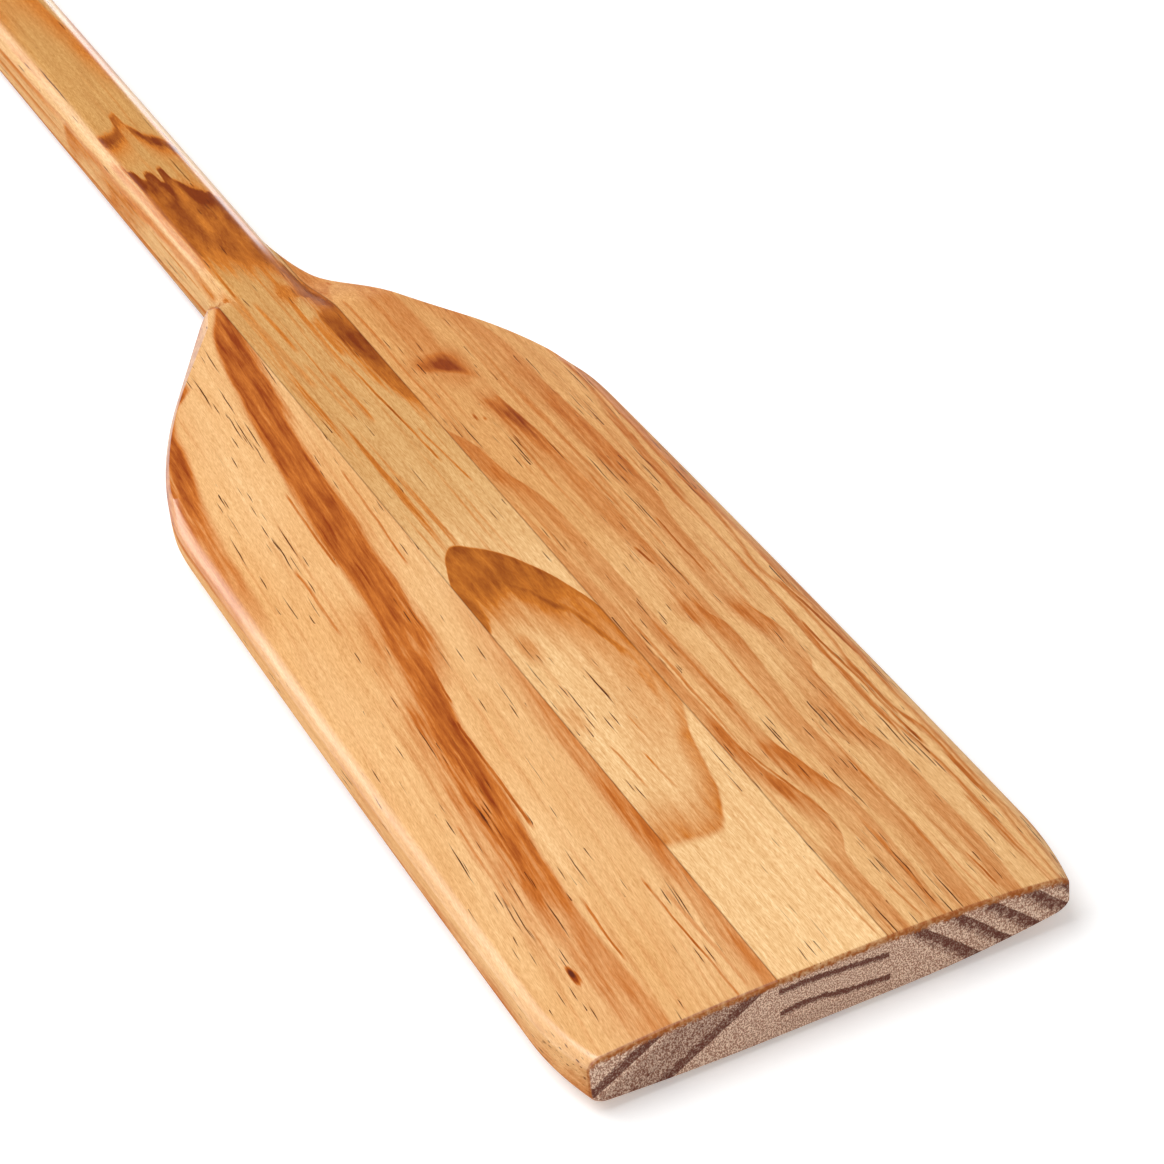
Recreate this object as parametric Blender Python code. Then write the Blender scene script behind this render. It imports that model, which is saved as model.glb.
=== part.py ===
"""A laminated wooden boat paddle: a core strip that runs from tip to grip, two blade wings
glued to it, and two cheeks glued to its other end to give width for the palm grip.

The glued blank is shaped as one body, so all five laminations share one outline and one
section: half_width() gives the outline, top_height() the section, and each piece is a loft of
the rings that these two give between its own glue faces.

The paddle lies flat. In the pieces' own frame X runs across, Y along from the middle of the
sawn tip, and Z up from the middle plane. The empty that carries them puts the origin of the
scene under the middle of the paddle, on the surface that it lies on. All sizes are in metres.
"""

import math

import bmesh
import bpy

# Lengths along the paddle
OVERALL_LENGTH = 1.22
BLADE_LENGTH = 0.356
RIGHT_NECK_SHIFT = -0.0057
LONG_EDGE_LENGTH = 0.253
ROOT_LENGTH = 0.046
GRIP_LENGTH = 0.100
GRIP_END_LENGTH = 0.024

# Widths
BLADE_WIDTH = 0.1425
SHOULDER_WIDTH = 0.1370
SHAFT_WIDTH = 0.0275
CORE_OVERSIZE = 0.0016
CROWN_FLAT_HALF = 0.018
GRIP_WIDTH = 0.062
GRIP_END_FLAT = 0.010

# Thicknesses
SHAFT_THICKNESS = 0.0222
TIP_THICKNESS = 0.0192
TIP_EDGE_THICKNESS_LEFT = 0.0143
TIP_EDGE_THICKNESS_RIGHT = 0.0092
SHOULDER_EDGE_THICKNESS = 0.0084

# Curves of the outline
SHOULDER_SLOPE = 0.16
NECK_SLOPE_LEFT = 0.68
NECK_SLOPE_RIGHT = 0.69
SHOULDER_BLEND = 0.0012
NECK_FILLET_LEFT = 0.002
NECK_FILLET_RIGHT = 0.033
TIP_CORNER_LENGTH = 0.027
TIP_CORNER_DROP = 0.0042
TIP_SAW_SKEW = math.radians(2.4)
SKEW_FADE_LENGTH = 0.040

# Roundings of the edges
SHAFT_ROUNDOVER = 0.0070
NECK_RUN_OUT_LEFT = 0.0145
NECK_RUN_OUT_RIGHT = 0.037
NECK_FACET_LEFT = 0.0068
NECK_FACET_RIGHT = 0.0020
FACET_SHARE = 0.4
SHOULDER_ARRIS = 0.0015
SHOULDER_FADE_LENGTH = 0.010
LONG_EDGE_EASE = 0.0042
EDGE_WALL_SHARE = 0.5
FACET_CRISPNESS = 0.85
TIP_ARRIS = 0.0010
GRIP_ROUNDOVER = 0.0105
GRIP_END_ROUNDOVER = 0.009
LEAST_WALL_SHARE = 0.15

# Glue joints
GLUE_GAP = 0.0003
FEATHER_WIDTH = 0.0004

# Facets
CORNER_STEPS = 6
CROWN_STEPS = 6
END_STEPS = 8
HALVINGS = 50

SHAFT_HALF = SHAFT_WIDTH / 2
SHAFT_FLAT_HALF = SHAFT_HALF - SHAFT_ROUNDOVER
CORE_FACE = SHAFT_HALF + CORE_OVERSIZE - GLUE_GAP / 2
OUTER_FACE = CORE_FACE + GLUE_GAP


def held(value):
    """The value, kept between 0 and 1."""
    return min(max(value, 0.0), 1.0)


def ease(value, start, end):
    """0 before start, 1 after end, and smooth between."""
    share = held((value - start) / (end - start))
    return share * share * (3 - 2 * share)


def blended(first, second, reach, sign):
    """The larger of two values for sign 1, the smaller for -1, rounded where they cross."""
    overlap = max(reach - abs(first - second), 0) / reach
    chosen = max(first, second) if sign > 0 else min(first, second)
    return chosen + sign * overlap * overlap * reach / 4


def edge_profile(share, roundness):
    """Fall of an edge's face from 0 at its inner side to 1 at its outer side: a flat facet
    for roundness 0, a quarter circle for 1."""
    power = 1 + roundness
    return 1 - (1 - held(share) ** power) ** (1 / power)


def tip_arris(along):
    """What the eased arris of the saw cut takes off the width and the height."""
    return TIP_ARRIS * edge_profile(1 - along / TIP_ARRIS, 1)


def long_edge(along):
    """Half width of the long, faintly bowed edge, with the corner at the tip."""
    bow = (along / LONG_EDGE_LENGTH) ** 2
    corner = held(1 - along / TIP_CORNER_LENGTH) ** 2
    edge = (BLADE_WIDTH - (BLADE_WIDTH - SHOULDER_WIDTH) * bow) / 2
    return edge - TIP_CORNER_DROP * corner - tip_arris(along)


def shoulder_edge(side, along):
    """Half width of the curve that leaves the long edge at a slight angle and bends over into
    the straight run down to the shaft."""
    slope = NECK_SLOPE_RIGHT if side > 0 else NECK_SLOPE_LEFT
    neck = BLADE_LENGTH + RIGHT_NECK_SHIFT if side > 0 else BLADE_LENGTH
    from_corner = SHOULDER_WIDTH / 2 - SHOULDER_SLOPE * (along - LONG_EDGE_LENGTH)
    to_neck = SHAFT_HALF + slope * (neck - along)
    widest = SHAFT_HALF + slope * (neck - LONG_EDGE_LENGTH)
    return blended(from_corner, to_neck, widest - SHOULDER_WIDTH / 2, -1)


def grip_edge(along):
    """Half width of the grip: a swell out of the shaft, then a half oval with a small flat."""
    swell = SHAFT_HALF + (GRIP_WIDTH / 2 - SHAFT_HALF) * ease(along, GRIP_START, GRIP_WIDEST)
    arc = math.sqrt(1 - (GRIP_END_FLAT / GRIP_WIDTH) ** 2)
    end = arc * held((along - GRIP_WIDEST) / GRIP_END_LENGTH)
    return swell * math.sqrt(1 - end * end)


def half_width(side, along):
    """Width from the middle to the edge on one side, at a distance from the tip."""
    if along > SHAFT_MIDDLE:
        return grip_edge(along)
    blade = blended(long_edge(along), shoulder_edge(side, along), SHOULDER_BLEND, -1)
    fillet = NECK_FILLET_RIGHT if side > 0 else NECK_FILLET_LEFT
    return blended(blade, SHAFT_HALF, fillet, 1)


# Lengths that follow from the outline
SKEW_REACH = long_edge(0) * math.tan(TIP_SAW_SKEW)
CENTRE_LENGTH = OVERALL_LENGTH - SKEW_REACH
GRIP_START = CENTRE_LENGTH - GRIP_LENGTH
GRIP_WIDEST = CENTRE_LENGTH - GRIP_END_LENGTH
SHAFT_MIDDLE = (BLADE_LENGTH + GRIP_START) / 2


def crown_height(across, along):
    """Height of the planed face, before any edge is rounded: flat in the middle, past both glue
    lines, and crowned from there to the edges. The blade's root has the shaft's full thickness."""
    taper = held(along / (BLADE_LENGTH - ROOT_LENGTH))
    middle = (TIP_THICKNESS + (SHAFT_THICKNESS - TIP_THICKNESS) * taper) / 2
    thinning = held(along / LONG_EDGE_LENGTH)
    tip_edge = TIP_EDGE_THICKNESS_RIGHT if across > 0 else TIP_EDGE_THICKNESS_LEFT
    edge = (tip_edge + (SHOULDER_EDGE_THICKNESS - tip_edge) * thinning) / 2
    outward = max(abs(across) - CROWN_FLAT_HALF, 0) / (BLADE_WIDTH / 2 - CROWN_FLAT_HALF)
    end = GRIP_END_ROUNDOVER * edge_profile(1 - (CENTRE_LENGTH - along) / GRIP_END_ROUNDOVER, 1)
    return middle - (middle - edge) * outward**2 - end - tip_arris(along)


def edge_reach(side, along):
    """Width of the eased or faceted band along the blade's edge. At the neck it narrows with
    what the blade still stands out from the shaft."""
    facet = NECK_FACET_RIGHT if side > 0 else NECK_FACET_LEFT
    past = ease(along, LONG_EDGE_LENGTH, LONG_EDGE_LENGTH + 2 * SHOULDER_FADE_LENGTH)
    neck = ease(along, LONG_EDGE_LENGTH, BLADE_LENGTH) ** 2
    band = LONG_EDGE_EASE + (SHOULDER_ARRIS - LONG_EDGE_EASE) * past
    standing_out = half_width(side, along) - SHAFT_HALF
    return min(band + (facet - SHOULDER_ARRIS) * neck, FACET_SHARE * standing_out)


def top_height(across, along):
    """Height of the finished upper face above the middle plane; the lower face mirrors it."""
    distance = abs(across)
    height = crown_height(across, along)
    wide = half_width(across, along)
    if along > SHAFT_MIDDLE:
        swell = ease(along, GRIP_START, GRIP_WIDEST)
        reach = SHAFT_ROUNDOVER + (GRIP_ROUNDOVER - SHAFT_ROUNDOVER) * swell
        depth = min(reach, (1 - LEAST_WALL_SHARE) * height)
        return height - depth * edge_profile((distance - wide + reach) / reach, 1)
    run_out = NECK_RUN_OUT_RIGHT if across > 0 else NECK_RUN_OUT_LEFT
    deepening = ease(along, BLADE_LENGTH - run_out, BLADE_LENGTH)
    depth = SHAFT_ROUNDOVER * deepening
    height -= depth * edge_profile((distance - SHAFT_FLAT_HALF) / SHAFT_ROUNDOVER, deepening)
    reach = edge_reach(across, along)
    if reach > TIP_ARRIS / 10:
        past = ease(along, LONG_EDGE_LENGTH, LONG_EDGE_LENGTH + 2 * SHOULDER_FADE_LENGTH)
        fall = edge_profile((distance - wide + reach) / reach, 1 - FACET_CRISPNESS * past)
        height *= 1 - (1 - EDGE_WALL_SHARE) * fall
    return height


def steps(start, end, count):
    """Evenly spaced stations from start up to, but not including, end."""
    return [start + (end - start) * i / count for i in range(count)]


def stations(start, end):
    """Distances from the tip at which a piece that runs from start to end has a ring."""
    shoulder_start = LONG_EDGE_LENGTH - SHOULDER_FADE_LENGTH
    shoulder_end = LONG_EDGE_LENGTH + 2 * SHOULDER_FADE_LENGTH
    corner_start = BLADE_LENGTH - 3 * NECK_FILLET_LEFT
    corner_end = BLADE_LENGTH + 3 * NECK_FILLET_LEFT
    fillet_end = BLADE_LENGTH + 2 * NECK_FILLET_RIGHT
    found = [TIP_ARRIS * (1 - math.cos(math.radians(angle))) for angle in (0, 30, 60)]
    found += steps(TIP_ARRIS, TIP_CORNER_LENGTH, 5)
    found += steps(TIP_CORNER_LENGTH, shoulder_start, 8)
    found += steps(shoulder_start, LONG_EDGE_LENGTH, 4)
    found += steps(LONG_EDGE_LENGTH, shoulder_end, 8)
    found += steps(shoulder_end, corner_start, 24)
    found += steps(corner_start, corner_end, 10)
    found += steps(corner_end, fillet_end, 8)
    found += steps(fillet_end, GRIP_START, 3)
    found += steps(GRIP_START, GRIP_WIDEST, 16)
    for step in range(END_STEPS + 1):
        quarter = math.sin(math.pi / 2 * step / END_STEPS)
        found.append(GRIP_WIDEST + GRIP_END_LENGTH * quarter)
    margin = TIP_ARRIS / 4
    return [start] + [along for along in found if start + margin < along < end - margin] + [end]


def place(across, along, height):
    """A point of the piece's frame. Near the tip the rings lean with the skewed saw cut."""
    lean = held(1 - along / SKEW_FADE_LENGTH) * math.tan(TIP_SAW_SKEW)
    return across, along - lean * across, height


def ring(across_values, along):
    """A closed section: the upper face's points, then the lower face's on the way back."""
    upper = [place(across, along, top_height(across, along)) for across in across_values]
    lower = [place(across, along, -top_height(across, along)) for across in across_values]
    return upper + lower[::-1]


def core_ring(along):
    """The core's section: its middle flat, then both corners, or both glue faces."""
    across = []
    for side in (-1, 1):
        outer = min(half_width(side, along), CORE_FACE)
        flat = min(SHAFT_FLAT_HALF, outer / 2)
        corner = [math.sin(math.pi / 2 * step / CORNER_STEPS) for step in range(CORNER_STEPS + 1)]
        across += [side * (flat + (outer - flat) * share) for share in corner]
    return ring(sorted(across), along)


def outer_ring(side, along, reach):
    """The section of a wing or a cheek, from its glue face out to the paddle's edge."""
    outer = half_width(side, along)
    inner_edge = max(outer - reach, OUTER_FACE + (outer - OUTER_FACE) / 4)
    across = [
        OUTER_FACE + (inner_edge - OUTER_FACE) * step / CROWN_STEPS for step in range(CROWN_STEPS)
    ]
    across += [
        inner_edge + (outer - inner_edge) * math.sin(math.pi / 2 * step / CORNER_STEPS)
        for step in range(CORNER_STEPS + 1)
    ]
    return ring([side * value for value in across], along)


def crossing(side, width, narrow, wide):
    """The distance from the tip at which the edge on one side passes a width, found by
    halving the stretch between a narrow place and a wide one."""
    for _ in range(HALVINGS):
        middle = (narrow + wide) / 2
        if half_width(side, middle) > width:
            wide = middle
        else:
            narrow = middle
    return middle


def principled(name, colour, roughness):
    """A varnished wood, in one plain colour."""
    material = bpy.data.materials.new(name)
    material.use_nodes = True
    shader = material.node_tree.nodes["Principled BSDF"]
    shader.inputs["Base Color"].default_value = (*colour, 1)
    shader.inputs["Roughness"].default_value = roughness
    shader.inputs["Metallic"].default_value = 0
    return material


def loft(name, rings, colour, roughness=0.4):
    """One closed body through the rings, with a flat cap at each end."""
    shape = bmesh.new()
    rows = [[shape.verts.new(point) for point in points] for points in rings]
    count = len(rows[0])
    for first, second in zip(rows, rows[1:]):
        for i in range(count):
            following = (i + 1) % count
            shape.faces.new((first[i], first[following], second[following], second[i]))
    shape.faces.new(rows[0])
    shape.faces.new(rows[-1])
    bmesh.ops.recalc_face_normals(shape, faces=shape.faces)
    mesh = bpy.data.meshes.new(name)
    shape.to_mesh(mesh)
    shape.free()
    mesh.shade_smooth()
    mesh.set_sharp_from_angle(angle=math.radians(28))
    piece = bpy.data.objects.new(name, mesh)
    mesh.materials.append(principled(name + "_wood", colour, roughness))
    return piece


def clear_scene():
    for old in list(bpy.data.objects):
        bpy.data.objects.remove(old, do_unlink=True)


def build_core():
    return loft(
        "shaft_core",
        [core_ring(along) for along in stations(0, CENTRE_LENGTH)],
        colour=(0.66, 0.36, 0.13),
    )


def build_wing(name, side, colour):
    least = OUTER_FACE + FEATHER_WIDTH
    root = crossing(side, least, SHAFT_MIDDLE, LONG_EDGE_LENGTH)
    rings = [outer_ring(side, along, edge_reach(side, along)) for along in stations(0, root)]
    return loft(name, rings, colour)


def build_cheek(name, side, colour):
    least = OUTER_FACE + FEATHER_WIDTH
    start = crossing(side, least, GRIP_START, GRIP_WIDEST)
    end = crossing(side, least, CENTRE_LENGTH, GRIP_WIDEST)
    rings = [outer_ring(side, along, GRIP_ROUNDOVER) for along in stations(start, end)]
    return loft(name, rings, colour)


def main():
    clear_scene()
    paddle = bpy.data.collections.new("wooden_boat_paddle")
    bpy.context.scene.collection.children.link(paddle)
    axis = bpy.data.objects.new("paddle_axis", None)
    axis.location = (0, SKEW_REACH - OVERALL_LENGTH / 2, SHAFT_THICKNESS / 2)
    paddle.objects.link(axis)
    pieces = [
        build_core(),
        build_wing("blade_wing_left", -1, (0.68, 0.38, 0.16)),
        build_wing("blade_wing_right", 1, (0.62, 0.33, 0.15)),
        build_cheek("grip_cheek_left", -1, (0.67, 0.37, 0.15)),
        build_cheek("grip_cheek_right", 1, (0.64, 0.35, 0.14)),
    ]
    for piece in pieces:
        piece.parent = axis
        paddle.objects.link(piece)


main()
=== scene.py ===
import math

import bmesh
import bpy
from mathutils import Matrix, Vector


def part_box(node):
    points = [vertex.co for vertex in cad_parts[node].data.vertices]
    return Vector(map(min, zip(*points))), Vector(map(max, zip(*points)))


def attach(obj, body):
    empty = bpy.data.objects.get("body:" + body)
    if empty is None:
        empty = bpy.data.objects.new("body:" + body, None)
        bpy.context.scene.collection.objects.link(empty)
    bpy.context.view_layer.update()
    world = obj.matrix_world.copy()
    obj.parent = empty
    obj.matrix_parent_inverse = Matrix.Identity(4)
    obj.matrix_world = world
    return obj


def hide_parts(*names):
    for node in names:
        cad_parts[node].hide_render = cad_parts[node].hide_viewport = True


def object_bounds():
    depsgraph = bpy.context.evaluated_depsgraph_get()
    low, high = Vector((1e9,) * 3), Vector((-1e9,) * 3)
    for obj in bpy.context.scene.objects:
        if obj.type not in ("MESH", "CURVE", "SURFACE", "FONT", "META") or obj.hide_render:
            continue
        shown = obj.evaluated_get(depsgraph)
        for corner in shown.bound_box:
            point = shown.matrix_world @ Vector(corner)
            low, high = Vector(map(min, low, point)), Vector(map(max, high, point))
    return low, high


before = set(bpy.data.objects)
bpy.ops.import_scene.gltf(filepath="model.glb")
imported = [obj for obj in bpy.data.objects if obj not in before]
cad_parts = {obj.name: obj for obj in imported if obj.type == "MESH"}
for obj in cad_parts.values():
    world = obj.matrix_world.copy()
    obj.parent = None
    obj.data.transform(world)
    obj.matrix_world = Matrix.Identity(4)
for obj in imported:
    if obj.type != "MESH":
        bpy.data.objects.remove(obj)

# %% [markdown]
# # A laminated boat paddle, from its CAD frame to its looks
#
# The frame holds five solids: a core strip that runs from the blade's tip to the grip, two wings
# glued to it for the blade, and two cheeks for the palm grip. They are the right size and shape
# but coarse. Here each one gets a finely faceted skin of its own, a procedural wood with the
# figure that the board really shows, a varnish, and then the light and the camera.

# %% Size of the frame
frame_low, frame_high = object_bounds()
frame_size = [round((b - a) * 1000, 2) for a, b in zip(frame_low, frame_high)]
print("frame, mm:", frame_size)
for node in sorted(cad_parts):
    low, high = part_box(node)
    print(node, [round((b - a) * 1000, 1) for a, b in zip(low, high)])

# %% [markdown]
# ## The outline
#
# A maker glues up the blank, saws it to one outline and shapes it as one body. So one function
# gives the half width at any distance from the tip, and each lamination is what lies between
# its glue lines. Two lines that cross at an angle are joined by a small smooth blend, the way
# that a spokeshave leaves them. All lengths are in metres.

# %% Outline of the blade and the grip
OVERALL_LENGTH = 1.22
BLADE_LENGTH = 0.356
RIGHT_NECK_SHIFT = -0.0057
LONG_EDGE_LENGTH = 0.253
ROOT_LENGTH = 0.046
GRIP_LENGTH = 0.100
GRIP_END_LENGTH = 0.024
BLADE_WIDTH = 0.1425
SHOULDER_WIDTH = 0.1370
SHAFT_WIDTH = 0.0275
GRIP_WIDTH = 0.062
GRIP_END_FLAT = 0.010
SHOULDER_SLOPE = 0.16
NECK_SLOPE = {-1: 0.68, 1: 0.69}
SHOULDER_BLEND = 0.0012
NECK_FILLET = {-1: 0.002, 1: 0.033}
TIP_CORNER_LENGTH = 0.027
TIP_CORNER_DROP = 0.0042
TIP_SAW_SKEW = math.radians(2.4)
SKEW_FADE_LENGTH = 0.040
TIP_ARRIS = 0.0010
SHAFT_HALF = SHAFT_WIDTH / 2


def held(value):
    return min(max(value, 0.0), 1.0)


def ease(value, start, end):
    share = held((value - start) / (end - start))
    return share * share * (3 - 2 * share)


def blended(first, second, reach, sign):
    overlap = max(reach - abs(first - second), 0) / reach
    chosen = max(first, second) if sign > 0 else min(first, second)
    return chosen + sign * overlap * overlap * reach / 4


def edge_profile(share, roundness):
    power = 1 + roundness
    return 1 - (1 - held(share) ** power) ** (1 / power)


def tip_arris(along):
    return TIP_ARRIS * edge_profile(1 - along / TIP_ARRIS, 1)


def long_edge(along):
    bow = (along / LONG_EDGE_LENGTH) ** 2
    corner = held(1 - along / TIP_CORNER_LENGTH) ** 2
    edge = (BLADE_WIDTH - (BLADE_WIDTH - SHOULDER_WIDTH) * bow) / 2
    return edge - TIP_CORNER_DROP * corner - tip_arris(along)


SKEW_REACH = long_edge(0) * math.tan(TIP_SAW_SKEW)
CENTRE_LENGTH = OVERALL_LENGTH - SKEW_REACH
GRIP_START = CENTRE_LENGTH - GRIP_LENGTH
GRIP_WIDEST = CENTRE_LENGTH - GRIP_END_LENGTH
SHAFT_MIDDLE = (BLADE_LENGTH + GRIP_START) / 2


def shoulder_edge(side, along):
    neck = BLADE_LENGTH + RIGHT_NECK_SHIFT if side > 0 else BLADE_LENGTH
    from_corner = SHOULDER_WIDTH / 2 - SHOULDER_SLOPE * (along - LONG_EDGE_LENGTH)
    to_neck = SHAFT_HALF + NECK_SLOPE[side] * (neck - along)
    widest = SHAFT_HALF + NECK_SLOPE[side] * (neck - LONG_EDGE_LENGTH)
    return blended(from_corner, to_neck, widest - SHOULDER_WIDTH / 2, -1)


def grip_edge(along):
    swell = SHAFT_HALF + (GRIP_WIDTH / 2 - SHAFT_HALF) * ease(along, GRIP_START, GRIP_WIDEST)
    arc = math.sqrt(1 - (GRIP_END_FLAT / GRIP_WIDTH) ** 2)
    end = arc * held((along - GRIP_WIDEST) / GRIP_END_LENGTH)
    return swell * math.sqrt(1 - end * end)


def half_width(side, along):
    if along > SHAFT_MIDDLE:
        return grip_edge(along)
    blade = blended(long_edge(along), shoulder_edge(side, along), SHOULDER_BLEND, -1)
    return blended(blade, SHAFT_HALF, NECK_FILLET[side], 1)


print("half widths, mm, at the tip, the shoulder and the shaft:",
      [round(half_width(-1, y) * 1000, 1) for y in (0, LONG_EDGE_LENGTH, 0.6)])

# %% [markdown]
# ## The section
#
# The faces are planed nearly flat and crowned towards the long edges. The edges are eased with
# sandpaper, the shaft's corners are taken off with a round-over bit, and at the neck the cut
# runs out into the blade: short and crisp on the left, long and soft on the right. The lower
# face mirrors the upper one.

# %% Height of the finished face
CROWN_FLAT_HALF = 0.018
SHAFT_THICKNESS = 0.0222
TIP_THICKNESS = 0.0192
TIP_EDGE_THICKNESS = {-1: 0.0143, 1: 0.0092}
SHOULDER_EDGE_THICKNESS = 0.0084
SHAFT_ROUNDOVER = 0.0070
NECK_RUN_OUT = {-1: 0.0145, 1: 0.037}
NECK_FACET = {-1: 0.0068, 1: 0.0020}
FACET_SHARE = 0.4
SHOULDER_ARRIS = 0.0015
SHOULDER_FADE_LENGTH = 0.010
LONG_EDGE_EASE = 0.0042
EDGE_WALL_SHARE = 0.5
FACET_CRISPNESS = 0.85
GRIP_ROUNDOVER = 0.0105
GRIP_END_ROUNDOVER = 0.009
LEAST_WALL_SHARE = 0.15
SHAFT_FLAT_HALF = SHAFT_HALF - SHAFT_ROUNDOVER
SHOULDER_END = LONG_EDGE_LENGTH + 2 * SHOULDER_FADE_LENGTH


def crown_height(side, distance, along):
    taper = held(along / (BLADE_LENGTH - ROOT_LENGTH))
    middle = (TIP_THICKNESS + (SHAFT_THICKNESS - TIP_THICKNESS) * taper) / 2
    thinning = held(along / LONG_EDGE_LENGTH)
    tip_edge = TIP_EDGE_THICKNESS[side]
    edge = (tip_edge + (SHOULDER_EDGE_THICKNESS - tip_edge) * thinning) / 2
    outward = max(distance - CROWN_FLAT_HALF, 0) / (BLADE_WIDTH / 2 - CROWN_FLAT_HALF)
    end = GRIP_END_ROUNDOVER * edge_profile(1 - (CENTRE_LENGTH - along) / GRIP_END_ROUNDOVER, 1)
    return middle - (middle - edge) * outward**2 - end - tip_arris(along)


def edge_reach(side, along):
    past = ease(along, LONG_EDGE_LENGTH, SHOULDER_END)
    neck = ease(along, LONG_EDGE_LENGTH, BLADE_LENGTH) ** 2
    band = LONG_EDGE_EASE + (SHOULDER_ARRIS - LONG_EDGE_EASE) * past
    reach = band + (NECK_FACET[side] - SHOULDER_ARRIS) * neck
    return min(reach, FACET_SHARE * (half_width(side, along) - SHAFT_HALF))


def top_height(across, along):
    side = 1 if across > 0 else -1
    distance = abs(across)
    height = crown_height(side, distance, along)
    wide = half_width(side, along)
    if along > SHAFT_MIDDLE:
        swell = ease(along, GRIP_START, GRIP_WIDEST)
        reach = SHAFT_ROUNDOVER + (GRIP_ROUNDOVER - SHAFT_ROUNDOVER) * swell
        depth = min(reach, (1 - LEAST_WALL_SHARE) * height)
        return height - depth * edge_profile((distance - wide + reach) / reach, 1)
    deepening = ease(along, BLADE_LENGTH - NECK_RUN_OUT[side], BLADE_LENGTH)
    depth = SHAFT_ROUNDOVER * deepening
    height -= depth * edge_profile((distance - SHAFT_FLAT_HALF) / SHAFT_ROUNDOVER, deepening)
    reach = edge_reach(side, along)
    if reach > TIP_ARRIS / 10:
        past = ease(along, LONG_EDGE_LENGTH, SHOULDER_END)
        fall = edge_profile((distance - wide + reach) / reach, 1 - FACET_CRISPNESS * past)
        height *= 1 - (1 - EDGE_WALL_SHARE) * fall
    return height


print("thickness, mm, at the tip's middle, the shaft and the grip:",
      [round(2000 * top_height(0, y), 1) for y in (0.001, 0.7, 1.17)])

# %% [markdown]
# ## Five laminations
#
# Each lamination is a closed loft through sections that stand close where the shape turns
# quickly: at the sawn tip, the shoulder, the neck and the grip's end. The glue line is a real
# seam 0.02 mm wide. Near the tip the sections lean with the saw cut, which is 2.4 degrees out
# of square.

# %% Sections
CORE_OVERSIZE = 0.0016
GLUE_LINE = 0.00002
FEATHER_WIDTH = 0.0001
CORE_FACE = SHAFT_HALF + CORE_OVERSIZE - GLUE_LINE / 2
OUTER_FACE = CORE_FACE + GLUE_LINE
CORNER_STEPS = 14
CROWN_STEPS = 26


def steps(start, end, spacing):
    count = max(round((end - start) / spacing), 1)
    return [start + (end - start) * i / count for i in range(count)]


def stations(start, end):
    """Where sections stand: evenly in each zone, (start, spacing), and closer at the ends."""
    zones = [(TIP_ARRIS, 0.0015), (TIP_CORNER_LENGTH, 0.004),
             (LONG_EDGE_LENGTH - SHOULDER_FADE_LENGTH, 0.0012), (SHOULDER_END, 0.0015),
             (BLADE_LENGTH - 4 * NECK_FILLET[-1], 0.0007),
             (BLADE_LENGTH + 4 * NECK_FILLET[-1], 0.002),
             (BLADE_LENGTH + 2 * NECK_FILLET[1], 0.012), (GRIP_START, 0.002)]
    ends = [zone_start for zone_start, _ in zones[1:]] + [GRIP_WIDEST]
    found = [TIP_ARRIS * (1 - math.cos(math.radians(angle))) for angle in range(0, 90, 15)]
    for (zone_start, spacing), zone_end in zip(zones, ends):
        found += steps(zone_start, zone_end, spacing)
    found += [GRIP_WIDEST + GRIP_END_LENGTH * math.sin(math.radians(a)) for a in range(0, 91, 5)]
    margin = TIP_ARRIS / 20
    return [start] + [along for along in found if start + margin < along < end - margin] + [end]


def placed(across, along, height):
    lean = held(1 - along / SKEW_FADE_LENGTH) * math.tan(TIP_SAW_SKEW)
    y = along - lean * across + SKEW_REACH - OVERALL_LENGTH / 2
    return across, y, height + SHAFT_THICKNESS / 2


def ring(across_values, along):
    heights = [top_height(across, along) for across in across_values]
    pairs = list(zip(across_values, heights))
    upper = [placed(across, along, height) for across, height in pairs]
    lower = [placed(across, along, -height) for across, height in reversed(pairs)]
    return upper + lower


def rounded(start, end, count):
    return [start + (end - start) * math.sin(math.pi / 2 * i / count) for i in range(count + 1)]


def core_ring(along):
    across = []
    for side in (-1, 1):
        outer = min(half_width(side, along), CORE_FACE)
        flat = min(SHAFT_FLAT_HALF, outer / 2)
        across += [side * flat * share for share in (0.25, 0.5, 0.75)]
        across += [side * value for value in rounded(flat, outer, CORNER_STEPS)]
    return ring(sorted(across), along)


def outer_ring(side, along, reach):
    outer = half_width(side, along)
    inner = max(outer - reach, OUTER_FACE + (outer - OUTER_FACE) / 4)
    across = [OUTER_FACE + (inner - OUTER_FACE) * i / CROWN_STEPS for i in range(CROWN_STEPS)]
    across += rounded(inner, outer, CORNER_STEPS)
    return ring([side * value for value in across], along)


print("sections of the core:", len(stations(0, CENTRE_LENGTH)))

# %% Lofts
HALVINGS = 50
SHARP_ANGLE = math.radians(24)


def crossing(side, width, narrow, wide):
    for _ in range(HALVINGS):
        middle = (narrow + wide) / 2
        if half_width(side, middle) > width:
            wide = middle
        else:
            narrow = middle
    return middle


def new_object(name, data):
    made = bpy.data.objects.new(name, data)
    bpy.context.scene.collection.objects.link(made)
    return made


def object_of(name, shape):
    mesh = bpy.data.meshes.new(name)
    shape.to_mesh(mesh)
    shape.free()
    return new_object(name, mesh)


def loft(name, rings):
    shape = bmesh.new()
    rows = [[shape.verts.new(point) for point in points] for points in rings]
    count = len(rows[0])
    for first, second in zip(rows, rows[1:]):
        for i in range(count):
            following = (i + 1) % count
            shape.faces.new((first[i], first[following], second[following], second[i]))
    shape.faces.new(rows[0])
    shape.faces.new(rows[-1])
    bmesh.ops.recalc_face_normals(shape, faces=shape.faces)
    piece = object_of(name, shape)
    piece.data.shade_smooth()
    piece.data.set_sharp_from_angle(angle=SHARP_ANGLE)
    return piece


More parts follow.
